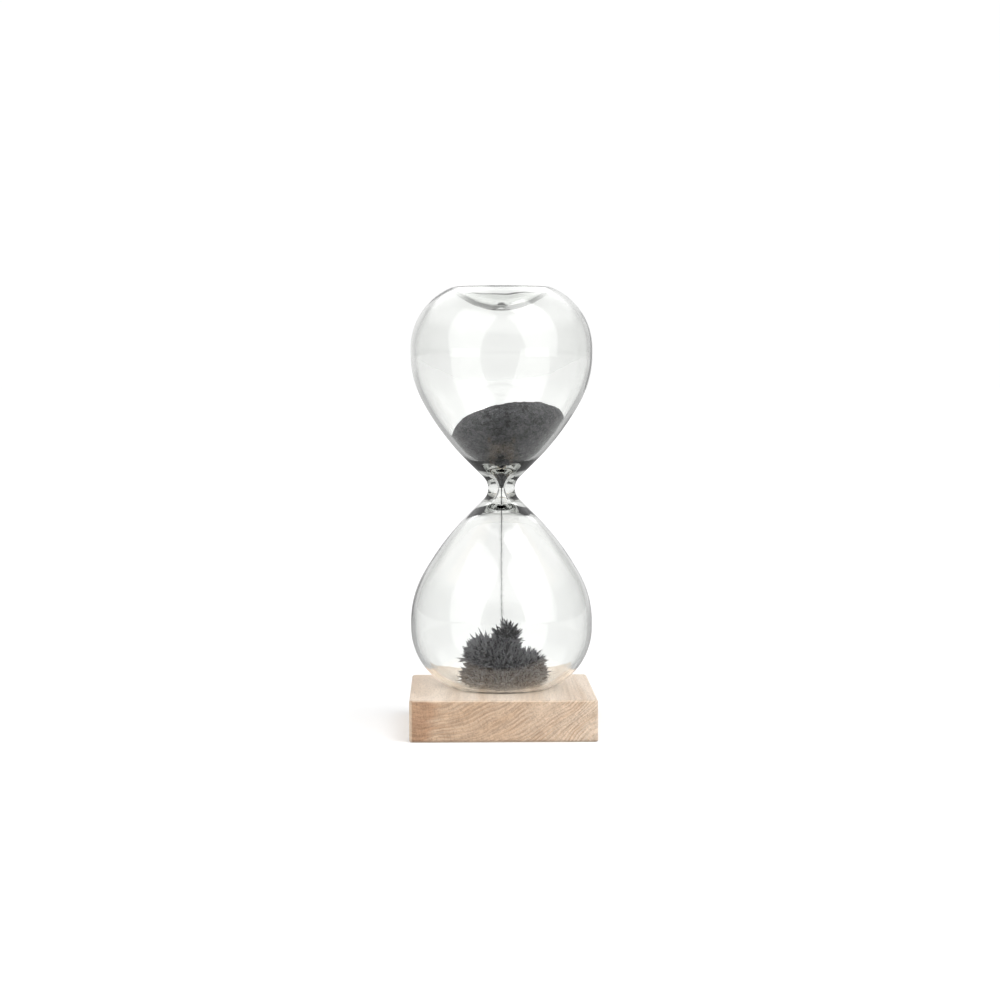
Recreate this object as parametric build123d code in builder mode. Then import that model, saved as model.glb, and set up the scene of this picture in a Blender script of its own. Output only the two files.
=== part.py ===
from build123d import *
import math
import os

# Magnetic hourglass: a sealed double glass bulb of iron powder that stands on a wooden
# block with a magnet inside.
#
# Frame: millimetres, +Z up, the front of the block faces -Y. The origin is the centre of
# the block's underside. The glass is the same end for end, and is described in terms of r,
# the distance from its axis, and h, the height above the middle of its neck.

os.makedirs("parts", exist_ok=True)

# --- driving dimensions: wooden base -------------------------------------------------
base_width = 60.0
base_height = 13.4
corner_radius = 1.5      # upright edges
top_edge_radius = 0.8
bottom_edge_radius = 0.6
magnet_radius = 15.0
magnet_height = 6.0
magnet_chamfer = 0.4
magnet_clearance = 0.15
pad_radius = 19.0
pad_height = 1.5
pad_clearance = 0.15
pad_edge_radius = 0.4

# --- driving dimensions: glass -------------------------------------------------------
half_length = 65.8       # middle of the neck to either end
bulb_radius = 29.8
wall = 1.5
neck_radius = 4.4
neck_arc = 5.1           # hollow curve around the outside of the neck
cone_angle = 45.0        # slope of the bulb where it leaves the neck, from the axis
cone_length = 7.7
flare_arc = 86.0         # long gentle curve above the cone
belly_angle = 29.0       # slope where the flare becomes the belly, from the axis
shoulder_arc = 21.5
foot_radius = 15.7       # the ring that the glass stands on
foot_arc = 2.5
punt_depth = 6.0         # how far the end is pushed in, inside the foot ring
thickening_start = 2.0   # degrees up the flare where the wall begins to thicken
lip_radius = 3.6         # edge of the hole in the thick glass above the neck
lip_slope = 22.0         # slope of the glass at that edge, from level
lip_arc = 1.2
throat_slope = 55.0      # slope of the throat just under the lip, from level
throat_middle = (1.9, 4.2)   # r and h of a point half way up the throat
orifice_radius = 0.8
seal_radius = 1.6
seal_nub = 1.4           # how far the flame-sealed tip stands out into the punt
seal_rounding = 1.1      # round end of that tip

# --- driving dimensions: iron powder -------------------------------------------------
powder_gap = 0.2         # between powder and glass
heap_radius = 44.0       # the domed top of the upper heap
heap_centre = (9.0, -11.0, -15.6)   # x, y and h of that dome's centre
tip_height = 0.3         # lowest powder of the upper heap, above the middle of the neck
stream_top_radius = 0.4
stream_bottom_radius = 0.22
needle_length = 3.8
needle_radius = 0.8
needle_tip_radius = 0.12
needle_sink = 1.2        # how deep each needle's foot sits in its lump
needle_lowest = 0.2      # sine of the lowest needles' slope

# --- heights and curves that follow from them ----------------------------------------
neck_z = base_height + half_length
cone, belly = math.radians(cone_angle), math.radians(belly_angle)
cone_start = (
    neck_radius + neck_arc * (1 - math.cos(cone)),
    neck_arc * math.sin(cone),
)
cone_end = (
    cone_start[0] + cone_length * math.sin(cone),
    cone_start[1] + cone_length * math.cos(cone),
)
flare_end = (
    cone_end[0] + flare_arc * (math.cos(belly) - math.cos(cone)),
    cone_end[1] + flare_arc * (math.sin(cone) - math.sin(belly)),
)
belly_arc = (bulb_radius - flare_end[0]) / (1 - math.cos(belly))
belly_end_h = flare_end[1] + belly_arc * math.sin(belly)

# the foot ring rolls tangentially from the shoulder into the punt
foot_h = half_length - foot_arc
shoulder_angle = math.acos(
    (foot_radius - bulb_radius + shoulder_arc) / (shoulder_arc - foot_arc)
)
shoulder_h = foot_h - (shoulder_arc - foot_arc) * math.sin(shoulder_angle)
side_length = shoulder_h - belly_end_h
punt_arc = (foot_radius**2 + punt_depth**2) / (2 * punt_depth) - foot_arc
punt_angle = math.asin(foot_radius / (punt_arc + foot_arc))
punt_h = half_length - punt_depth


seam_slope = 90 - cone_angle + thickening_start


def rise(radius, slope_from, slope_to):
    """How far an arc goes out in r and up in h as its slope from level changes, in degrees."""
    start, end = math.radians(slope_from), math.radians(slope_to)
    return (
        radius * abs(math.sin(end) - math.sin(start)),
        radius * abs(math.cos(start) - math.cos(end)),
    )


def heading(slope):
    """Direction of a line with this slope from level, in degrees."""
    return (math.cos(math.radians(slope)), math.sin(math.radians(slope)))


def seam(depth):
    """Where the neck is joined to the bulb, depth mm in from the outer surface."""
    start_r = cone_end[0] - depth * math.cos(cone)
    start_h = cone_end[1] + depth * math.sin(cone)
    out, up = rise(flare_arc - depth, 90 - cone_angle, seam_slope)
    return (start_r + out, start_h + up)


def draw_wall(depth):
    """Draw the bulb from its seam to the middle of its end, depth mm inside the outside."""
    flare = JernArc(
        seam(depth),
        heading(seam_slope),
        flare_arc - depth,
        cone_angle - belly_angle - thickening_start,
    )
    belly_curve = JernArc(flare @ 1, flare % 1, belly_arc - depth, belly_angle)
    side = Line(belly_curve @ 1, belly_curve @ 1 + Vector(0, side_length))
    shoulder = JernArc(
        side @ 1, (0, 1), shoulder_arc - depth, math.degrees(shoulder_angle)
    )
    foot = JernArc(
        shoulder @ 1,
        shoulder % 1,
        foot_arc - depth,
        90 - math.degrees(shoulder_angle) + math.degrees(punt_angle),
    )
    JernArc(foot @ 1, foot % 1, punt_arc + depth, -math.degrees(punt_angle))


def draw_throat(gap):
    """Draw the inside of the neck from the orifice up to the seam, gap mm off the glass."""
    top_r, top_h = seam(wall + gap)
    bowl_arc = (top_r - lip_radius + gap) / rise(1, lip_slope, seam_slope)[0]
    lip_h = top_h - rise(bowl_arc, lip_slope, seam_slope)[1]
    lip_out, lip_up = rise(lip_arc, lip_slope, throat_slope)
    throat_end = (lip_radius - gap - lip_out, lip_h - lip_up)
    Spline(
        (orifice_radius - gap, 0),
        (throat_middle[0] - gap, throat_middle[1]),
        throat_end,
        tangents=[(0, 1), heading(throat_slope)],
    )
    lip = JernArc(throat_end, heading(throat_slope), lip_arc, lip_slope - throat_slope)
    JernArc(lip @ 1, lip % 1, bowl_arc, seam_slope - lip_slope)


profile_plane = Plane(origin=(0, 0, neck_z), x_dir=(1, 0, 0), z_dir=(0, -1, 0))
neck_plane = Plane.XY.offset(neck_z)

# --- wooden block, bored from below for the magnet ------------------------------------
with BuildPart() as base_block:
    Box(base_width, base_width, base_height, align=(Align.CENTER, Align.CENTER, Align.MIN))
    fillet(base_block.edges().filter_by(Axis.Z), corner_radius)
    fillet(base_block.faces().sort_by(Axis.Z)[-1].edges(), top_edge_radius)
    fillet(base_block.faces().sort_by(Axis.Z)[0].edges(), bottom_edge_radius)
    with Locations(Location((0, 0, 0), (180, 0, 0))):
        CounterBoreHole(
            magnet_radius + magnet_clearance,
            pad_radius + pad_clearance,
            pad_height,
            depth=pad_height + magnet_height,
        )
base_block.part.label = "base_block"

# --- ferrite disc magnet -------------------------------------------------------------
with BuildPart() as magnet:
    with BuildSketch(Plane.XY.offset(pad_height)):
        Circle(magnet_radius)
    extrude(amount=magnet_height)
    chamfer(magnet.edges().filter_by(GeomType.CIRCLE), magnet_chamfer)
magnet.part.label = "magnet"

# --- round felt pad that closes the bore ---------------------------------------------
with BuildPart() as base_pad:
    with BuildSketch():
        Circle(pad_radius)
    extrude(amount=pad_height)
    fillet(base_pad.edges().group_by(Axis.Z)[0], pad_edge_radius)
base_pad.part.label = "base_pad"

# --- upper bulb, with the filling hole in the middle of its punt -----------------------
with BuildPart() as upper_bulb:
    with BuildSketch(profile_plane):
        with BuildLine():
            draw_wall(0)
            draw_wall(wall)
            Line(seam(0), seam(wall))
            Line((0, punt_h), (0, punt_h - wall))
        make_face()
    revolve(axis=Axis.Z)
    with Locations((0, 0, neck_z + punt_h)):
        Hole(seal_radius, depth=2 * wall)
upper_bulb.part.label = "upper_bulb"

# --- flame-sealed glass tip that closes the filling hole --------------------------------
with BuildPart() as fill_port_seal:
    with BuildSketch(neck_plane.offset(punt_h - wall)):
        Circle(seal_radius)
    extrude(amount=wall + seal_nub)
    fillet(fill_port_seal.edges().group_by(Axis.Z)[-1], seal_rounding)
fill_port_seal.part.label = "fill_port_seal"

# --- lower bulb: the same blown shape, upside down, with a closed punt -----------------
with BuildPart() as lower_bulb:
    with BuildSketch(profile_plane):
        with BuildLine():
            draw_wall(0)
            draw_wall(wall)
            Line(seam(0), seam(wall))
            Line((0, punt_h), (0, punt_h - wall))
        make_face()
    revolve(axis=Axis.Z)
    mirror(about=neck_plane, mode=Mode.REPLACE)
lower_bulb.part.label = "lower_bulb"

# --- thick-walled neck that meters the powder -------------------------------------------
with BuildPart() as neck:
    with BuildSketch(profile_plane):
        with BuildLine():
            waist = JernArc((neck_radius, 0), (0, 1), neck_arc, -cone_angle)
            cone_side = Line(waist @ 1, cone_end)
            JernArc(cone_end, cone_side % 1, flare_arc, thickening_start)
            Line(seam(0), seam(wall))
            draw_throat(0)
            Line((orifice_radius, 0), (neck_radius, 0))
        make_face()
    revolve(axis=Axis.Z)
    mirror(about=neck_plane)
neck.part.label = "neck"

# --- the room inside one bulb, a little smaller all round: a tool for the powder ---------
with BuildPart() as room:
    with BuildSketch(profile_plane):
        with BuildLine():
            draw_throat(powder_gap)
            draw_wall(wall + powder_gap)
            Line((0, punt_h - wall - powder_gap), (0, 0))
            Line((0, 0), (orifice_radius - powder_gap, 0))
        make_face()
    revolve(axis=Axis.Z)

# --- powder that hasn't run through yet: a leaning domed heap ----------------------------
with BuildPart() as upper_powder:
    add(room.part)
    with Locations((heap_centre[0], heap_centre[1], neck_z + heap_centre[2])):
        Sphere(heap_radius, mode=Mode.INTERSECT)
    split(bisect_by=neck_plane.offset(tip_height), keep=Keep.TOP)
upper_powder.part.label = "upper_powder"

# --- powder on the magnet: four lumps, all covered with needles ---------------------------
# each lump: centre x, y and height above the block, radius, and how many needles stand on it
lumps = [
    (0.5, 0.0, 0.5, 14.4, 30),   # broad foot
    (-5.0, 0.0, 7.5, 7.5, 18),   # left shoulder
    (7.5, -1.0, 5.0, 6.2, 14),   # right shoulder
    (2.2, 0.0, 15.8, 4.4, 12),   # crown
]
golden_angle = math.pi * (3 - math.sqrt(5))


def needle_planes(x, y, z, radius, count):
    """Places spread evenly over the upper half of a ball, each facing outwards."""
    for i in range(count):
        up = 1 - (1 - needle_lowest) * (i + 0.5) / count
        level = math.sqrt(1 - up * up)
        around = i * golden_angle
        outward = Vector(level * math.cos(around), level * math.sin(around), up)
        foot = Vector(x, y, base_height + z) + outward * (radius - needle_sink)
        yield Plane(origin=foot, z_dir=outward)


with BuildPart() as powder_pile:
    for x, y, z, radius, count in lumps:
        with Locations((x, y, base_height + z)):
            Sphere(radius)
        with Locations(*needle_planes(x, y, z, radius, count)):
            Cone(
                needle_radius,
                needle_tip_radius,
                needle_length,
                align=(Align.CENTER, Align.CENTER, Align.MIN),
            )
    lower_room = mirror(room.part, about=neck_plane, mode=Mode.PRIVATE)
    add(lower_room, mode=Mode.INTERSECT)
powder_pile.part.label = "powder_pile"

# --- thin stream of powder falling from the neck to the pile -----------------------------
stream_top = neck_z + tip_height
stream_bottom = powder_pile.part.bounding_box().max.Z + powder_gap
with BuildPart() as powder_stream:
    with Locations((0, 0, stream_bottom)):
        Cone(
            stream_bottom_radius,
            stream_top_radius,
            stream_top - stream_bottom,
            align=(Align.CENTER, Align.CENTER, Align.MIN),
        )
powder_stream.part.label = "powder_stream"

for piece in (
    base_block,
    magnet,
    base_pad,
    lower_bulb,
    neck,
    upper_bulb,
    fill_port_seal,
    upper_powder,
    powder_stream,
    powder_pile,
):
    export_step(piece.part, f"parts/{piece.part.label}.step")
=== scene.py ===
"""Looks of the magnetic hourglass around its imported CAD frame.

Metres, +Z up, the front of the wooden block faces -Y. Lengths of the model are written in
millimetres times MM, and the patterns of the materials are worked out in millimetres. The
glass is described by r, the distance from its axis, and h, the height above the middle of
its neck.
"""

import math

import bmesh
import bpy
import numpy as np
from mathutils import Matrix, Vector, noise


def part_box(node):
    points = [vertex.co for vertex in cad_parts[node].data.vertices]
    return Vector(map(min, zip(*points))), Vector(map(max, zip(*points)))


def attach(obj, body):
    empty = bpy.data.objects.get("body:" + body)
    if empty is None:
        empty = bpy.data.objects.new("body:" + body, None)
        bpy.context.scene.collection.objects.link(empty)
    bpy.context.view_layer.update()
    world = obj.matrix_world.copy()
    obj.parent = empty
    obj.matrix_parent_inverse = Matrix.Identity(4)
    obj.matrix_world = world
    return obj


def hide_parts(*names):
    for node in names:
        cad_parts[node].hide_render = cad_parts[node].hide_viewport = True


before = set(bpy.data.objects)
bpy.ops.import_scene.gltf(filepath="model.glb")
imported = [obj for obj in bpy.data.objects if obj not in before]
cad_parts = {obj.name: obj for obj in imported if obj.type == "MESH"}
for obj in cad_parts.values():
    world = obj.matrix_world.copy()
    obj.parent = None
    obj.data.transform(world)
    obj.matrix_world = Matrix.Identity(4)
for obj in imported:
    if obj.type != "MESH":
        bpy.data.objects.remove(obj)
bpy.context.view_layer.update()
MM = 0.001
random = np.random.default_rng(11)

# --- places read from the frame -------------------------------------------------------
block_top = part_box("base_block")[1].z
glass_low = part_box("lower_bulb")[0].z
glass_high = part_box("upper_bulb")[1].z
half_length = (glass_high - glass_low) / 2
neck_z = glass_low + half_length
bulb_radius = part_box("upper_bulb")[1].x

# --- the blown glass, as in the CAD ---------------------------------------------------
wall = 1.5 * MM
neck_radius = 4.4 * MM
neck_arc = 5.1 * MM
cone_angle = 45.0
cone_length = 7.7 * MM
flare_arc = 86.0 * MM
belly_angle = 29.0
shoulder_arc = 21.5 * MM
foot_radius = 15.7 * MM
foot_arc = 2.5 * MM
punt_depth = 6.0 * MM
thickening_start = 2.0
lip_radius = 3.6 * MM
lip_slope = 22.0
lip_arc = 1.2 * MM
throat_slope = 55.0
throat_middle = (1.9 * MM, 4.2 * MM)
orifice_radius = 0.8 * MM
seal_nub = 1.4 * MM
seal_width = 1.5 * MM
powder_gap = 0.12 * MM

cone, belly = math.radians(cone_angle), math.radians(belly_angle)
cone_end = (
    neck_radius + neck_arc * (1 - math.cos(cone)) + cone_length * math.sin(cone),
    neck_arc * math.sin(cone) + cone_length * math.cos(cone),
)
flare_end = (
    cone_end[0] + flare_arc * (math.cos(belly) - math.cos(cone)),
    cone_end[1] + flare_arc * (math.sin(cone) - math.sin(belly)),
)
belly_arc = (bulb_radius - flare_end[0]) / (1 - math.cos(belly))
foot_h = half_length - foot_arc
shoulder = math.acos((foot_radius - bulb_radius + shoulder_arc) / (shoulder_arc - foot_arc))
shoulder_angle = math.degrees(shoulder)
shoulder_h = foot_h - (shoulder_arc - foot_arc) * math.sin(shoulder)
side_length = shoulder_h - flare_end[1] - belly_arc * math.sin(belly)
punt_arc = (foot_radius**2 + punt_depth**2) / (2 * punt_depth) - foot_arc
punt_angle = math.degrees(math.asin(foot_radius / (punt_arc + foot_arc)))
seam_slope = 90 - cone_angle + thickening_start

# --- the blown surface's unevenness: shares of r, and the length of one swell ---------
skin_unevenness = 0.0025
cavity_unevenness = 0.004
swell_length = 22 * MM
swells_around = 1.3


# --- outlines -------------------------------------------------------------------------
def walk(start, heading, moves, step=0.8 * MM):
    """Points along runs that follow on smoothly. A move is (radius, degrees to the left),
    or (length, 0) for a straight run."""
    points = [np.array(start)]
    angle = math.radians(heading)
    for size, turn in moves:
        turn = math.radians(turn)
        length = size * abs(turn) if turn else size
        count = max(int(length / step), 10 if turn else 1)
        for _ in range(count):
            half_turn = turn / count / 2
            chord = 2 * size * math.sin(abs(half_turn)) if turn else size / count
            angle += half_turn
            points.append(points[-1] + chord * np.array((math.cos(angle), math.sin(angle))))
            angle += half_turn
    return np.array(points)


def bulb_moves(depth, turned=0.0):
    """The bulb's wall from the neck's cone to the middle of the end, depth in from outside.
    The flare starts with the first degrees already turned."""
    return [
        (flare_arc - depth, cone_angle - belly_angle - turned),
        (belly_arc - depth, belly_angle),
        (side_length, 0),
        (shoulder_arc - depth, shoulder_angle),
        (foot_arc - depth, 90 - shoulder_angle + punt_angle),
        (punt_arc + depth, -punt_angle),
    ]


def rise(radius, slope_from, slope_to):
    """How far an arc goes out in r and up in h as its slope from level changes, in degrees."""
    start, end = math.radians(slope_from), math.radians(slope_to)
    return (
        radius * abs(math.sin(end) - math.sin(start)),
        radius * abs(math.cos(start) - math.cos(end)),
    )


def seam(depth):
    """Where the wall starts to thicken towards the neck, depth in from outside."""
    start_r = cone_end[0] - depth * math.cos(cone)
    start_h = cone_end[1] + depth * math.sin(cone)
    out, up = rise(flare_arc - depth, 90 - cone_angle, seam_slope)
    return (start_r + out, start_h + up)


def smooth_curve(knots, first, last, count=14):
    """Cubic curve through knots, with its directions given at both ends."""
    knots = np.array(knots)
    gaps = np.linalg.norm(np.diff(knots, axis=0), axis=1)
    slopes = [np.array(first)]
    for i in range(1, len(knots) - 1):
        slopes.append((knots[i + 1] - knots[i - 1]) / (gaps[i] + gaps[i - 1]))
    slopes.append(np.array(last))
    points = []
    for i, gap in enumerate(gaps):
        for t in np.arange(count) / count:
            points.append(
                (2 * t**3 - 3 * t**2 + 1) * knots[i]
                + (t**3 - 2 * t**2 + t) * gap * slopes[i]
                + (3 * t**2 - 2 * t**3) * knots[i + 1]
                + (t**3 - t**2) * gap * slopes[i + 1]
            )
    return np.array(points)


def outside():
    """Half of the outer outline, from the neck's waist to the middle of the end."""
    moves = [(neck_arc, -cone_angle), (cone_length, 0)]
    return walk((neck_radius, 0), 90, moves + bulb_moves(0))


def inside(gap):
    """Half of the inner outline, gap away from the glass."""
    top_r, top_h = seam(wall + gap)
    bowl_arc = (top_r - lip_radius + gap) / rise(1, lip_slope, seam_slope)[0]
    lip_h = top_h - rise(bowl_arc, lip_slope, seam_slope)[1]
    lip_out, lip_up = rise(lip_arc, lip_slope, throat_slope)
    throat_end = (lip_radius - gap - lip_out, lip_h - lip_up)
    knots = [(orifice_radius - gap, 0), (throat_middle[0] - gap, throat_middle[1]), throat_end]
    last = math.radians(throat_slope)
    throat = smooth_curve(knots, (0, 1), (math.cos(last), math.sin(last)))
    moves = [(lip_arc, lip_slope - throat_slope), (bowl_arc, seam_slope - lip_slope)]
    moves += bulb_moves(wall + gap, thickening_start)
    return np.vstack([throat, walk(throat_end, throat_slope, moves)])


def both_ends(half):
    """The same outline for both bulbs, from the bottom up."""
    lower = half[1:][::-1] * (1, -1)
    return np.vstack([lower, half])


# --- mesh making ----------------------------------------------------------------------
def add_object(name, data):
    made = bpy.data.objects.new(name, data)
    bpy.context.scene.collection.objects.link(made)
    return made


def mesh_object(name, points, faces, smooth=True):
    mesh = bpy.data.meshes.new(name)
    mesh.from_pydata([tuple(p) for p in points], [], faces)
    mesh.validate()
    mesh.polygons.foreach_set("use_smooth", [smooth] * len(mesh.polygons))
    return add_object(name, mesh)


def joined(name, made, smooth=True):
    """One mesh of many small ones, each given as its points and faces."""
    points, faces = [], []
    for more_points, more_faces in made:
        shift = len(points)
        points += more_points
        faces += [tuple(shift + i for i in f) for f in more_faces]
    return mesh_object(name, points, faces, smooth)


def ring_faces(rings, segments):
    """Quads between rings of points that lie one after the other."""
    faces = []
    for i in range(rings - 1):
        a, b = i * segments, (i + 1) * segments
        for j in range(segments):
            k = (j + 1) % segments
            faces.append((a + j, a + k, b + k, b + j))
    return faces


def closed_faces(rings, segments):
    """Quads between rings, and a fan at both ends to the two points that follow the rings:
    first the bottom, then the top."""
    faces = ring_faces(rings, segments)
    bottom, top = rings * segments, rings * segments + 1
    last = (rings - 1) * segments
    for j in range(segments):
        k = (j + 1) % segments
        faces.append((bottom, k, j))
        faces.append((top, last + j, last + k))
    return faces


def lathe(outline, segments, unevenness, seed=0.0):
    """Points and faces of a closed surface turned about the axis, a little uneven in r."""
    points = []
    for r, h in outline[1:-1]:
        for j in range(segments):
            a = 2 * math.pi * j / segments
            x, y = math.cos(a) * swells_around, math.sin(a) * swells_around
            swell = 1 + unevenness * noise.noise(Vector((x, y, h / swell_length + seed)))
            points.append((r * swell * math.cos(a), r * swell * math.sin(a), neck_z + h))
    points.append((0, 0, neck_z + outline[0][1]))
    points.append((0, 0, neck_z + outline[-1][1]))
    return points, closed_faces(len(outline) - 2, segments)


def bumps(place, *layers):
    """Sum of noise layers at a place in millimetres. A layer is (height, bumps per mm)."""
    return sum(height * noise.noise(place * density) for height, density in layers)


def share(value):
    """A value kept between 0 and 1."""
    return min(max(value, 0.0), 1.0)


# --- glass ----------------------------------------------------------------------------
def make_glass():
    """One clear piece: the outer skin, and the cavity's skin facing the other way."""
    segments = 144
    outer = both_ends(outside())
    near_axis = np.exp(-((outer[:, 0] / seal_width) ** 4))
    outer[:, 1] += seal_nub * near_axis * (outer[:, 1] > 0)
    skin = lathe(outer, segments, skin_unevenness)
    cavity, cavity_faces = lathe(both_ends(inside(0)), segments, cavity_unevenness, seed=5.0)
    return joined("glass_body", [skin, (cavity, [tuple(reversed(f)) for f in cavity_faces])])


# --- powder above the neck ------------------------------------------------------------
heap_centre = np.array((8.0, -11.0, -15.5)) * MM
heap_ball = 44.0 * MM
heap_tip = 0.3 * MM
heap_edge_drop = 3.3 * MM
heap_edge_width = 1.0 * MM

# how deep the pits go in from the glass, and over how many rings the top's lumps set in
heap_pitting = 0.64
heap_calm_rings = 8


def dome(x, y):
    """Height of the heap's domed top above the middle of the neck."""
    cx, cy, ch = heap_centre
    return ch + math.sqrt(max(heap_ball**2 - (x - cx) ** 2 - (y - cy) ** 2, 0))


def heap_line(angle, along, across):
    """Points up the glass from the tip to the heap's edge, and then over its top."""
    side = inside(powder_gap)
    side = side[side[:, 1] > heap_tip]
    c, s = math.cos(angle), math.sin(angle)
    below = [h < dome(r * c, r * s) - heap_edge_drop for r, h in side]
    end = below.index(False)
    side = side[: end + 1]
    length = np.r_[0, np.cumsum(np.linalg.norm(np.diff(side, axis=0), axis=1))]
    low, high = side[end - 1], side[end]
    gap_low = dome(low[0] * c, low[0] * s) - heap_edge_drop - low[1]
    gap_high = dome(high[0] * c, high[0] * s) - heap_edge_drop - high[1]
    reach = length[-2] + (length[-1] - length[-2]) * gap_low / (gap_low - gap_high)
    places = np.linspace(0, reach, along)
    wall_r = np.interp(places, length, side[:, 0])
    wall_h = np.interp(places, length, side[:, 1])
    line = [(r * c, r * s, h) for r, h in zip(wall_r, wall_h)]
    edge = wall_r[-1]
    for i in range(1, across):
        r = edge * (1 - i / across)
        drop = heap_edge_drop * math.exp(-(edge - r) / heap_edge_width)
        line.append((r * c, r * s, dome(r * c, r * s) - drop))
    return line


def make_heap():
    """The leaning heap in the funnel: pitted where it lies on the glass, lumpy on top."""
    segments, along, across = 150, 60, 50
    lines = [heap_line(2 * math.pi * j / segments, along, across) for j in range(segments)]
    rings = along + across - 1
    points = []
    for i in range(rings):
        for j in range(segments):
            x, y, h = lines[j][i]
            p = Vector((x, y, h)) / MM
            rough = bumps(p, (0.10, 2.6), (0.05, 7.0))
            if i >= along:
                swell = bumps(p, (0.55, 0.22), (0.3, 0.55))
                p.z += rough + swell * min(1, (i - along) / heap_calm_rings)
            else:
                inwards = 1 - heap_pitting * max(rough, 0) / max(math.hypot(x, y) / MM, 1)
                p.x, p.y = p.x * inwards, p.y * inwards
            points.append((p.x * MM, p.y * MM, neck_z + p.z * MM))
    points.append((0, 0, neck_z + heap_tip))
    points.append((0, 0, neck_z + dome(0, 0)))
    return mesh_object("powder_heap", points, closed_faces(rings, segments))


# --- powder on the magnet -------------------------------------------------------------
# each lump in millimetres: centre x, y, height above the block, half-widths in x, y and z
pile_lumps = (
    (0.3, -0.4, 2.3, 14.0, 16.0, 4.4),
    (0.5, 0.5, 6.0, 8.6, 10.0, 7.0),
    (-5.2, -0.5, 9.6, 5.9, 7.2, 6.0),
    (8.2, -0.6, 5.8, 5.2, 6.8, 4.9),
    (1.5, 0.0, 14.6, 3.6, 4.2, 5.2),
)
pile_voxel = 0.55 * MM
pile_heart = Vector((0.5 * MM, 0, block_top + 3.5 * MM))

# painted shade: the tufts are darker above the crown's height and below the foot's, fading in
# over the fade's height
crown_height = 15.5 * MM
foot_height = 4 * MM
fade_height = 2 * MM


def floor_curve():
    """Inside of the lower bulb's end: its height above the block for a distance r."""
    half = inside(powder_gap)
    end = half[half[:, 1] > shoulder_h]
    end = end[np.argsort(end[:, 0])]
    return end[:, 0], half_length - end[:, 1]


floor_r, floor_h = floor_curve()


def floor_at(x, y):
    """Height of the inside of the lower bulb's end under a place."""
    return np.interp(np.hypot(x, y), floor_r, floor_h) + glass_low


def apply_modifiers(piece):
    graph = bpy.context.evaluated_depsgraph_get()
    done = bpy.data.meshes.new_from_object(piece.evaluated_get(graph))
    old = piece.data
    piece.modifiers.clear()
    piece.data = done
    bpy.data.meshes.remove(old)


def make_pile_core():
    """The lumps run together, resting on the inside of the glass."""
    bm = bmesh.new()
    for x, y, z, wide, deep, high in pile_lumps:
        made = bmesh.ops.create_icosphere(bm, subdivisions=4, radius=1.0)["verts"]
        for v in made:
            v.co = Vector((x + v.co.x * wide, y + v.co.y * deep, z + v.co.z * high)) * MM
            v.co.z += glass_low
    mesh = bpy.data.meshes.new("pile_core")
    bm.to_mesh(mesh)
    bm.free()
    core = add_object("powder_pile_core", mesh)
    remesh = core.modifiers.new("join", "REMESH")
    remesh.mode = "VOXEL"
    remesh.voxel_size = pile_voxel
    apply_modifiers(core)
    co = np.array([v.co for v in core.data.vertices])
    for i, p in enumerate(co):
        bulge = bumps(Vector(p / MM), (0.5, 0.45), (0.35, 1.3))
        normal = core.data.vertices[i].normal
        co[i] += np.array(normal) * bulge * MM
    co[:, 2] = np.maximum(co[:, 2], floor_at(co[:, 0], co[:, 1]))
    core.data.vertices.foreach_set("co", co.ravel())
    core.data.update()
    return core


def spike(foot, direction, length, radius, bend, sides, rings):
    """A bent, rough tuft of powder with a blunt point: its points, faces and heights."""
    bluntness, roughness = 0.6, 0.45
    direction = direction.normalized()
    side = direction.orthogonal().normalized()
    up = direction.cross(side)
    points = []
    for i in range(rings):
        t = i / rings
        middle = foot + direction * length * t + bend * t * t
        width = radius * (1 - t) ** bluntness
        for j in range(sides):
            a = 2 * math.pi * (j + 0.5 * i) / sides
            rough = width * (1 + roughness * (random.random() - 0.5))
            points.append(middle + (side * math.cos(a) + up * math.sin(a)) * rough)
    faces = ring_faces(rings, sides)
    tip = len(points)
    points.append(foot + direction * length + bend)
    last = (rings - 1) * sides
    for j in range(sides):
        faces.append((tip, last + j, last + (j + 1) % sides))
    faces.append(tuple(reversed(range(sides))))
    heights = [i // sides / rings for i in range(rings * sides)] + [1.0]
    return points, faces, heights


def surface_samples(piece, count):
    """Evenly scattered places on a mesh, each with its normal."""
    mesh = piece.data
    areas = np.array([p.area for p in mesh.polygons])
    chosen = random.choice(len(areas), size=count, p=areas / areas.sum())
    for i in chosen:
        polygon = mesh.polygons[i]
        corners = [mesh.vertices[v].co for v in polygon.vertices]
        u, v = random.random(2)
        if len(corners) == 4:
            low = corners[0].lerp(corners[1], u)
            place = low.lerp(corners[3].lerp(corners[2], u), v)
        else:
            place = polygon.center.copy()
        yield place, polygon.normal.copy()


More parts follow.
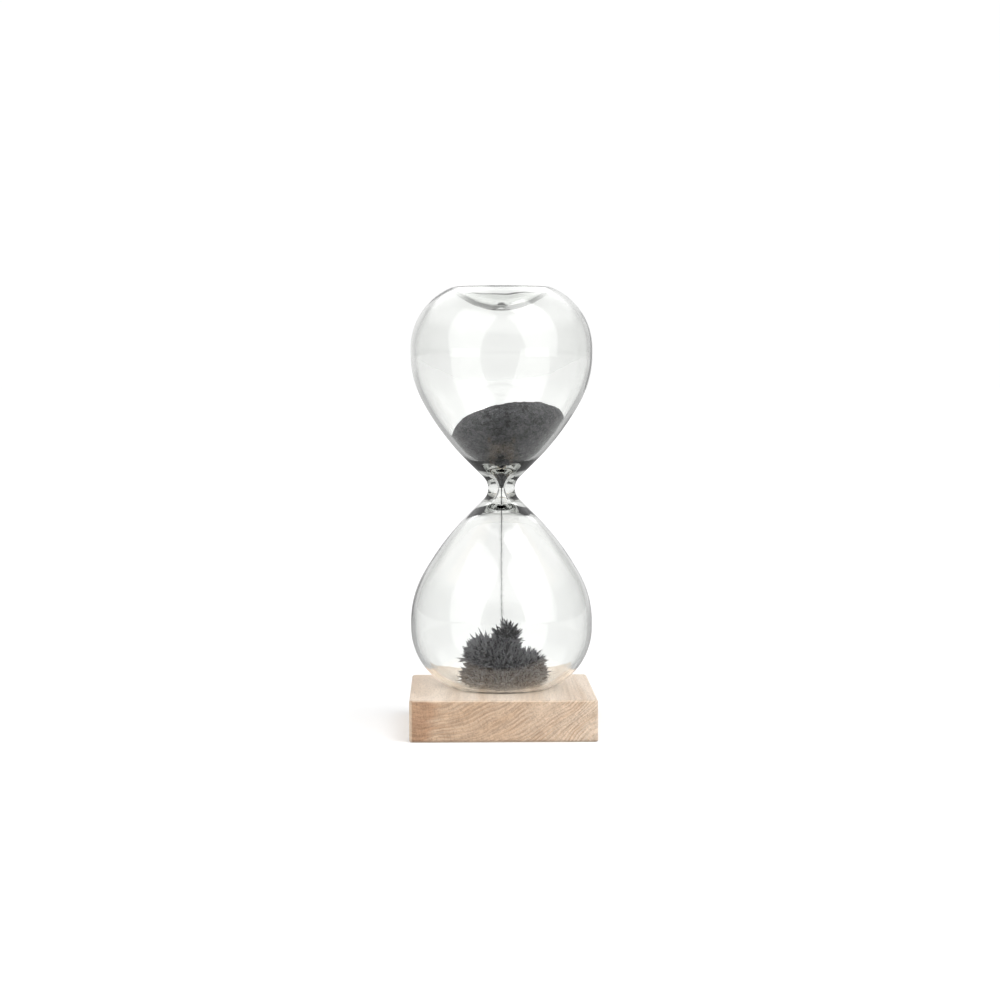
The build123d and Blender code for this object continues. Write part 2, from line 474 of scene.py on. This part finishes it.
def make_spikes(core, name, count, lengths, widths, sides, rings):
    """Tufts that stand on the pile along the magnet's field. Lengths and widths are ranges
    in millimetres. Each point's tone goes from dark at the foot to pale at the tip, painted
    shade at the roots and painted light on the tips."""
    outwards, along_field, untidiness, bending = 0.75, 0.6, 0.17, 0.09
    clumping, clump_size = 0.45, 2.6 * MM
    foot_room, tip_room, steepest_undercut, sunk = 0.3 * MM, 0.2 * MM, -0.5, 0.8
    tip_light_tone, painted_shade_tone = 0.6, 0.6
    spikes, tones = [], []
    for place, normal in surface_samples(core, count):
        if place.z < floor_at(place.x, place.y) + foot_room or normal.z < steepest_undercut:
            continue
        field = (place - pile_heart).normalized()
        shake = Vector(random.normal(0, untidiness, 3))
        direction = normal * outwards + field * along_field + shake
        clump = 1 + clumping * noise.noise(place / clump_size)
        length = random.uniform(*lengths) * clump * MM
        radius = random.uniform(*widths) * MM
        bend = Vector(random.normal(0, bending, 3)) * length
        foot = place - normal * radius * sunk
        points, faces, heights = spike(foot, direction, length, radius, bend, sides, rings)
        tip = points[-1]
        if tip.z < floor_at(tip.x, tip.y) + tip_room:
            continue
        # painted shade: tufts on the crown and at the foot are darkened
        crown_shade = share((place.z - block_top - crown_height) / fade_height)
        low = share((foot_height - place.z + block_top) / fade_height)
        own = random.uniform(-0.3, 0.5) - painted_shade_tone * max(crown_shade, low)
        # painted light rising towards the tip
        tones += [own + tip_light_tone * t for t in heights]
        spikes.append((points, faces))
    piece = joined(name, spikes)
    # each point's painted light and shade, read by the powder material
    tone = piece.data.attributes.new("tip", "FLOAT", "POINT")
    tone.data.foreach_set("value", tones)
    return piece


# --- falling powder -------------------------------------------------------------------
def grain(centre, size):
    """An uneven eight-sided chip of iron."""
    ends = []
    for axis in range(3):
        for sign in (-1, 1):
            p = Vector(centre)
            p[axis] += sign * size * random.uniform(0.6, 1.0)
            ends.append(p)
    faces = [
        (x, y, z) if (x + y + z) % 2 else (x, z, y)
        for x in (0, 1) for y in (2, 3) for z in (4, 5)
    ]
    return ends, faces


def make_grains(name, places, sizes):
    made = [grain(place, size) for place, size in zip(places, sizes)]
    return joined(name, made, smooth=False)


def make_stream(bottom):
    """The thread of powder, thinning as it speeds up."""
    top = neck_z + heap_tip + 0.5 * MM
    thread_radius, mouth_radius = 0.07, 0.15
    sway, sway_length = 0.10 * MM, 9 * MM
    rings, sides = 160, 7
    points = []
    for i in range(rings):
        t = i / (rings - 1)
        z = top + (bottom - top) * t
        radius = (mouth_radius * (1 - t) ** 4 + thread_radius) * MM
        drift = sway * noise.noise(Vector((0.0, 3.0, z / sway_length)))
        for j in range(sides):
            a = 2 * math.pi * j / sides
            r = radius * random.uniform(0.75, 1.15)
            points.append((drift + r * math.cos(a), r * math.sin(a), z))
    faces = [tuple(reversed(f)) for f in ring_faces(rings, sides)]
    faces.append(tuple(range(sides)))
    faces.append(tuple(reversed(range((rings - 1) * sides, rings * sides))))
    return mesh_object("powder_thread", points, faces, smooth=False)


# --- shader nodes ---------------------------------------------------------------------
def rgba(tone):
    """A colour, or a grey given as one number, with its alpha."""
    return (*tone, 1) if isinstance(tone, tuple) else (tone, tone, tone, 1)


class Nodes:
    """A node tree with a short way of adding and linking nodes."""

    def __init__(self, tree):
        self.tree = tree

    def put(self, node, socket, value):
        """Give an input another node's output, or a plain value."""
        if isinstance(value, bpy.types.NodeSocket):
            self.tree.links.new(value, node.inputs[socket])
        else:
            node.inputs[socket].default_value = value

    def fill(self, node, inputs):
        for key, value in inputs.items():
            self.put(node, key.replace("_", " "), value)

    def add(self, kind, settings=None, **inputs):
        node = self.tree.nodes.new(kind)
        for key, value in (settings or {}).items():
            setattr(node, key, value)
        self.fill(node, inputs)
        return node

    def math(self, operation, a, b=0.0):
        node = self.add("ShaderNodeMath", {"operation": operation})
        self.put(node, 0, a)
        self.put(node, 1, b)
        return node.outputs[0]

    def plus(self, a, b):
        return self.math("ADD", a, b)

    def minus(self, a, b):
        return self.math("SUBTRACT", a, b)

    def times(self, a, b):
        return self.math("MULTIPLY", a, b)

    def over(self, a, b):
        return self.math("DIVIDE", a, b)

    def clamp(self, value):
        return self.add("ShaderNodeClamp", Value=value).outputs[0]

    def stretch(self, vector, scale):
        node = self.add("ShaderNodeVectorMath", {"operation": "MULTIPLY"})
        self.put(node, 0, vector)
        self.put(node, 1, scale)
        return node.outputs[0]

    def separate(self, vector):
        return self.add("ShaderNodeSeparateXYZ", Vector=vector).outputs

    def noise(self, vector, scale, detail=2.0, roughness=0.5):
        node = self.add(
            "ShaderNodeTexNoise", Vector=vector, Scale=scale, Detail=detail, Roughness=roughness
        )
        return node.outputs["Fac"]

    def ramp(self, value, *stops):
        """What value picks between stops. A stop is its position and a colour or grey."""
        node = self.add("ShaderNodeValToRGB", Fac=value)
        elements = node.color_ramp.elements
        while len(elements) < len(stops):
            elements.new(0.5)
        for element, (position, tone) in zip(elements, stops):
            element.position = position
            element.color = rgba(tone)
        return node.outputs["Color"]

    def mix(self, factor, a, b, blend="MIX"):
        node = self.add("ShaderNodeMix", {"data_type": "RGBA", "blend_type": blend})
        self.put(node, 0, factor)
        for socket, tone in ((6, a), (7, b)):
            linked = isinstance(tone, bpy.types.NodeSocket)
            self.put(node, socket, tone if linked else rgba(tone))
        return node.outputs[2]

    def tint(self, factor, colour, tone):
        """The colour times the tone, as far as the factor says."""
        return self.mix(factor, colour, tone, "MULTIPLY")


class Material(Nodes):
    """A principled material whose patterns are placed in millimetres on the object."""

    def __init__(self, name):
        self.material = bpy.data.materials.new(name)
        self.material.use_nodes = True
        super().__init__(self.material.node_tree)
        self.shader = self.tree.nodes["Principled BSDF"]

    def set(self, **inputs):
        self.fill(self.shader, inputs)

    def place(self):
        """Position on the object, in millimetres."""
        where = self.add("ShaderNodeTexCoord").outputs["Object"]
        return self.stretch(where, (1 / MM,) * 3)

    def bump(self, height, strength, distance):
        node = self.add("ShaderNodeBump", Height=height, Strength=strength, Distance=distance)
        return node.outputs["Normal"]


# --- materials ------------------------------------------------------------------------
def glass_material():
    """Clear glass with a faint ripple, and a grey tint that deepens with its thickness."""
    m = Material("clear_glass")
    where = m.place()
    ripple = m.noise(m.stretch(where, (1.0, 1.0, 0.35)), 0.11, 1.0)
    haze = m.noise(where, 0.25, 4.0, 0.6)
    m.set(
        Base_Color=(0.985, 0.99, 0.982, 1),
        IOR=1.47,
        Transmission_Weight=1.0,
        Roughness=m.ramp(haze, (0.4, 0.0), (0.8, 0.02)),
        Normal=m.bump(ripple, 0.25, 0.4 * MM),
    )
    absorb = m.add("ShaderNodeVolumeAbsorption", Color=(0.80, 0.815, 0.79, 1), Density=95.0)
    m.put(m.tree.nodes["Material Output"], "Volume", absorb.outputs[0])
    return m.material


def powder_material(name, dark, light, levels, grains_per_mm, depth):
    """Matt iron powder: grains of uneven grey with a few that glint. The levels are where
    the tone starts and ends going from dark to light, and depth is in millimetres."""
    m = Material(name)
    where = m.place()
    cells = m.add("ShaderNodeTexVoronoi", Vector=where, Scale=grains_per_mm)
    tone = m.add("ShaderNodeSeparateColor", Color=cells.outputs["Color"])
    clumps = m.noise(where, 0.35, 3.0, 0.6)
    # the tufts' tip attribute paints light towards their tips and shade at their roots
    tip = m.add("ShaderNodeAttribute", {"attribute_name": "tip"}).outputs["Fac"]
    level = m.plus(m.plus(m.times(tone.outputs[0], 0.5), clumps), tip)
    glint = m.math("GREATER_THAN", tone.outputs[1], 0.9)
    m.set(
        Base_Color=m.ramp(level, (levels[0], dark), (levels[1], light)),
        Roughness=m.ramp(glint, (0.0, 0.75), (1.0, 0.35)),
        Metallic=0.0,
        Specular_IOR_Level=0.3,
        Normal=m.bump(cells.outputs["Distance"], 0.9, depth * MM),
    )
    return m.material


# wood, in millimetres: the tree's heart ran along Y, above and left of the block
heart_x, heart_z = -33.0, 75.0
ring_spacing = 1.15
slow_wander, quick_wander = 9.0, 0.7
heartwood_edge, heartwood_blend = -20.0, 4.0
right_edge = 26.0
# how high up the block the painted contact shadow reaches, in millimetres
contact_shade_height = 2.0
rays_per_radian = 85.0

# the faces along the grain, the top among them, are paler than the end grain: partly the wood's
# own tone, partly painted light on the top
wood_face, wood_face_right = (0.86, 0.735, 0.615), (0.82, 0.70, 0.585)
wood_end, wood_end_right = (0.585, 0.43, 0.305), (0.70, 0.565, 0.44)
wood_heart = (0.36, 0.19, 0.105)
wood_band = (0.52, 0.345, 0.215)
wood_ring = (0.36, 0.215, 0.12)
# pale tone of the edges: wear, and a painted highlight
wood_wear_and_highlight = (0.80, 0.68, 0.54)


def wood_material():
    """Pale wood: rings about the heart, with the end grain at the front and the back."""
    m = Material("block_wood")
    where = m.place()
    x, y, z = m.separate(where)
    normal = m.add("ShaderNodeTexCoord").outputs["Normal"]
    end_grain = m.math("ABSOLUTE", m.separate(normal)[1])

    def drawn_out(pace, scale, detail, roughness=0.5):
        """Noise whose pace along the grain is a share of its pace across it."""
        return m.noise(m.stretch(where, (1.0, pace, 1.0)), scale, detail, roughness)

    # how far each place is from the heart, with the wander of a real tree
    from_x, from_z = m.minus(x, heart_x), m.minus(z, heart_z)
    distance = m.math("SQRT", m.plus(m.times(from_x, from_x), m.times(from_z, from_z)))
    distance = m.plus(distance, m.times(drawn_out(0.06, 0.06, 1.0), slow_wander))
    distance = m.plus(distance, m.times(drawn_out(0.05, 0.45, 3.0, 0.6), quick_wander))

    # thin rings, fading in and out, and broad bands and streaks that follow them
    ring = m.math("FRACT", m.over(distance, ring_spacing))
    rings = m.ramp(ring, (0.0, 0.2), (0.35, 0.0), (0.8, 0.6), (0.93, 1.0))
    strength = m.ramp(drawn_out(0.04, 0.14, 2.0), (0.35, 0.12), (0.7, 0.75))
    along = m.add("ShaderNodeCombineXYZ", X=distance, Y=m.times(y, 0.03), Z=m.times(x, 0.13))
    along = along.outputs[0]
    bands = m.ramp(m.noise(along, 0.33, 2.0, 0.5), (0.4, 0.0), (0.68, 1.0))
    streaks = m.ramp(m.noise(along, 1.5, 3.0, 0.65), (0.36, 0.72), (0.6, 1.06))

    # the block's left end is heartwood, darker and redder
    left = m.over(m.minus(heartwood_edge, x), heartwood_blend)
    left = m.clamp(m.plus(left, m.minus(bands, 0.5)))
    left = m.times(left, m.times(end_grain, 0.75))
    right = m.clamp(m.over(x, right_edge))

    face = m.mix(right, wood_face, wood_face_right)
    end = m.mix(right, wood_end, wood_end_right)
    colour = m.mix(end_grain, face, end)
    colour = m.mix(left, colour, wood_heart)
    colour = m.mix(m.times(bands, 0.42), colour, wood_band)
    shown = m.times(strength, m.plus(0.3, m.times(end_grain, 0.7)))
    colour = m.mix(m.times(rings, shown), colour, wood_ring)
    colour = m.tint(m.plus(0.3, m.times(end_grain, 0.5)), colour, streaks)

    # rays from the heart across the rings, seen on the end grain
    turned = m.times(m.math("ARCTAN2", from_z, from_x), rays_per_radian)
    turned = m.add("ShaderNodeCombineXYZ", X=turned, Y=m.times(distance, 0.16))
    rays = m.ramp(m.noise(turned.outputs[0], 1.7, 2.0, 0.6), (0.35, 0.9), (0.65, 1.07))
    colour = m.tint(m.times(end_grain, 0.8), colour, rays)

    # pores are short dark flecks along the grain, dots on the end grain; fibres are finer
    pores = drawn_out(0.3, 2.3, 2.0, 0.7)
    flecks = m.ramp(pores, (0.40, 0.66), (0.49, 1.0))
    colour = m.tint(0.55, colour, flecks)
    fibres = drawn_out(0.04, 5.0, 3.0, 0.7)
    threads = m.ramp(fibres, (0.3, 0.86), (0.7, 1.08))
    colour = m.tint(0.8, colour, threads)

    # painted shade: the wood darkens towards the bottom edge, a painted contact shadow where the
    # block meets the floor
    contact_shade = m.ramp(m.over(z, contact_shade_height), (0.1, 0.55), (0.5, 1.0))
    colour = m.tint(1.0, colour, contact_shade)

    # edges are a little paler: partly wear, partly a painted highlight along them
    pointed = m.add("ShaderNodeNewGeometry").outputs["Pointiness"]
    wear_and_highlight = m.ramp(pointed, (0.52, 0.0), (0.60, 1.0))
    colour = m.mix(m.times(wear_and_highlight, 0.35), colour, wood_wear_and_highlight)
    relief = m.plus(m.times(rings, 0.4), m.plus(fibres, pores))
    m.set(
        Base_Color=colour,
        Roughness=m.ramp(fibres, (0.2, 0.5), (0.8, 0.68)),
        Specular_IOR_Level=0.35,
        Normal=m.bump(relief, 0.35, 0.12 * MM),
    )
    return m.material


def ferrite_material():
    m = Material("ferrite_grey")
    grit = m.noise(m.place(), 6.0, 4.0, 0.7)
    m.set(
        Base_Color=m.ramp(grit, (0.3, (0.035, 0.035, 0.038)), (0.7, (0.08, 0.08, 0.085))),
        Roughness=m.ramp(grit, (0.3, 0.45), (0.7, 0.6)),
        Normal=m.bump(grit, 0.3, 0.05 * MM),
    )
    return m.material


def felt_material():
    m = Material("black_felt")
    hairs = m.noise(m.stretch(m.place(), (1.0, 1.0, 0.4)), 5.0, 5.0, 0.75)
    m.set(
        Base_Color=m.ramp(hairs, (0.3, (0.012, 0.012, 0.013)), (0.75, (0.05, 0.05, 0.052))),
        Roughness=0.95,
        Sheen_Weight=0.4,
        Normal=m.bump(hairs, 0.8, 0.2 * MM),
    )
    return m.material


def give(piece, material):
    piece.data.materials.clear()
    piece.data.materials.append(material)


# --- pieces ---------------------------------------------------------------------------
glass = make_glass()
give(glass, glass_material())
glass.visible_shadow = False
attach(glass, "glass")
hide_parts("lower_bulb", "neck", "upper_bulb", "fill_port_seal")

black, grey, pale = (0.004, 0.004, 0.005), (0.08, 0.08, 0.085), (0.155, 0.155, 0.163)
grey_powder = powder_material(
    "iron_powder", black, grey, levels=(0.45, 1.1), grains_per_mm=1.5, depth=0.3
)
tip_powder = powder_material(
    "iron_powder_tips", black, pale, levels=(0.75, 1.8), grains_per_mm=2.4, depth=0.12
)

heap = make_heap()
give(heap, grey_powder)
crumb_sink = 0.05 * MM
crumb_start = neck_z + 9 * MM
crumbs = [
    place - normal * crumb_sink
    for place, normal in surface_samples(heap, count=15000)
    if place.z > crumb_start
]
crumb_sizes = random.uniform(0.10, 0.26, len(crumbs)) * MM
heap_grains = make_grains("powder_heap_grains", crumbs, crumb_sizes)
give(heap_grains, tip_powder)
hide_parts("upper_powder")

core = make_pile_core()
give(core, grey_powder)
tufts = make_spikes(
    core, "powder_tufts", count=1350, lengths=(2.0, 3.9), widths=(0.36, 0.55), sides=6, rings=4
)
needles = make_spikes(
    core, "powder_needles", count=3200, lengths=(1.2, 2.8), widths=(0.15, 0.28), sides=5, rings=2
)
give(tufts, tip_powder)
give(needles, tip_powder)
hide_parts("powder_pile")

pile_top = max(v.co.z for v in tufts.data.vertices)
thread = make_stream(pile_top - 1.2 * MM)
give(thread, grey_powder)
fall_count = 1700
fall_top = neck_z - 5 * MM
fall_spread = 0.40 * MM
falling = [
    Vector((*(random.normal(0, fall_spread, 2)), z))
    for z in random.uniform(pile_top, fall_top, fall_count)
]
falling_sizes = random.uniform(0.05, 0.09, len(falling)) * MM
falling_grains = make_grains("powder_falling_grains", falling, falling_sizes)
give(falling_grains, tip_powder)
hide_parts("powder_stream")

for piece in (heap, heap_grains, core, tufts, needles, thread, falling_grains):
    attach(piece, "glass")

give(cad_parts["base_block"], wood_material())
give(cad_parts["magnet"], ferrite_material())
give(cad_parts["base_pad"], felt_material())


# --- studio ---------------------------------------------------------------------------
# how bright reflections find the studio: each a share of the way to the side and a grey
side_screens = ((0.3, 1.0), (0.6, 0.7), (0.77, 0.62), (0.93, 0.1))
studio_strength = 1.02


def make_floor():
    """A white floor that keeps its brightness as it runs away from the lights."""
    reach, glow_reach = 30.0, 2.0
    corners = [(-reach, -reach, 0), (reach, -reach, 0), (reach, reach, 0), (-reach, reach, 0)]
    floor = mesh_object("floor", corners, [(0, 1, 2, 3)])
    m = Material("floor_white")
    where = m.place()
    mottle = m.noise(where, 0.02, 2.0)
    length = m.add("ShaderNodeVectorMath", {"operation": "LENGTH"})
    m.put(length, 0, where)
    length = length.outputs["Value"]
    far = m.over(length, glow_reach / MM)
    glow = m.ramp(far, (0.08, 0.07), (0.35, 0.35), (1.0, 0.62))
    paint = m.ramp(mottle, (0.3, (0.93, 0.93, 0.935)), (0.7, (0.95, 0.95, 0.95)))

    # painted reflection: to reflected rays the floor is darker, the more so towards the sides,
    # as if black screens stood there
    seen = m.add("ShaderNodeLightPath").outputs
    mirrored = m.math("MINIMUM", seen["Glossy Depth"], 1.0)
    sideways = m.over(m.math("ABSOLUTE", m.separate(where)[0]), length)
    painted_screen_shade = m.ramp(sideways, *side_screens)
    dull = m.ramp(sideways, (0.2, 0.15), (0.8, 0.38))
    m.set(
        Base_Color=m.mix(mirrored, paint, dull),
        Roughness=0.9,
        Specular_IOR_Level=0.1,
        Emission_Color=m.mix(mirrored, glow, m.tint(1.0, painted_screen_shade, glow)),
        # painted shade: seen through the glass the floor is a little dimmer
        Emission_Strength=m.minus(1.0, m.times(seen["Is Transmission Ray"], 0.15)),
    )
    give(floor, m.material)


def point_at(thing, aim):
    """Turn a lamp or a camera to a place."""
    towards = aim - thing.location
    thing.rotation_euler = towards.to_track_quat("-Z", "Y").to_euler()


def softbox(name, azimuth, watts, distance, height, width, tall):
    """A rectangular light that faces the object. Azimuth 0 is the front, 90 the right."""
    a = math.radians(azimuth)
    data = bpy.data.lights.new(name, "AREA")
    data.shape = "RECTANGLE"
    data.size, data.size_y = width, tall
    data.energy = watts
    light = add_object(name, data)
    light.location = (distance * math.sin(a), -distance * math.cos(a), height)
    point_at(light, Vector((0, 0, 70 * MM)))
    light.visible_camera = False


def make_world():
    """A studio that looks white. Its light, its reflections and what shows through the glass
    each have a brightness of their own."""
    world = bpy.data.worlds.new("studio")
    bpy.context.scene.world = world
    world.use_nodes = True
    w = Nodes(world.node_tree)
    right, back, up = w.separate(w.add("ShaderNodeTexCoord").outputs["Generated"])
    sideways = w.math("ABSOLUTE", right)
    forwards = w.times(back, -1.0)
    seen = w.add("ShaderNodeLightPath").outputs

    dim = w.ramp(up, (0.1, 0.45), (0.8, 0.55))
    through = w.ramp(up, (0.3, 1.0), (0.6, 0.12))
    walls = w.ramp(up, (0.1, 0.85), (0.35, 0.9), (0.5, 1.9), (0.75, 1.9), (0.9, 0.9))
    mirrored = w.tint(1.0, walls, w.ramp(sideways, *side_screens))
    mirrored = w.tint(1.0, mirrored, w.ramp(forwards, (0.8, 1.0), (0.96, 0.4)))
    colour = w.mix(seen["Is Transmission Ray"], dim, through)
    colour = w.mix(seen["Glossy Depth"], colour, mirrored)
    colour = w.mix(seen["Is Camera Ray"], colour, 1.0)
    w.fill(w.tree.nodes["Background"], {"Color": colour, "Strength": studio_strength})


def make_camera():
    """The eye is level with the middle of the upper bulb, and a little to its left."""
    eye = Vector((-17.0, -690.0, 114.0)) * MM
    aim = Vector((-0.5, 0.0, 75.3)) * MM
    data = bpy.data.cameras.new("camera")
    data.sensor_width = 36.0
    data.lens = 75.6
    data.clip_start = 10 * MM
    camera = add_object("camera", data)
    camera.location = eye
    point_at(camera, aim)
    bpy.context.scene.camera = camera


make_floor()
for side, azimuth, watts in (("left", -49, 6.8), ("right", 51, 7.6)):
    softbox(
        f"softbox_{side}", azimuth, watts, distance=1.0, height=0.70, width=1.05, tall=1.5
    )
softbox("top_light", 60, 4.0, distance=0.5, height=1.2, width=0.6, tall=0.6)
make_world()
make_camera()
bpy.context.scene.view_settings.view_transform = "Standard"
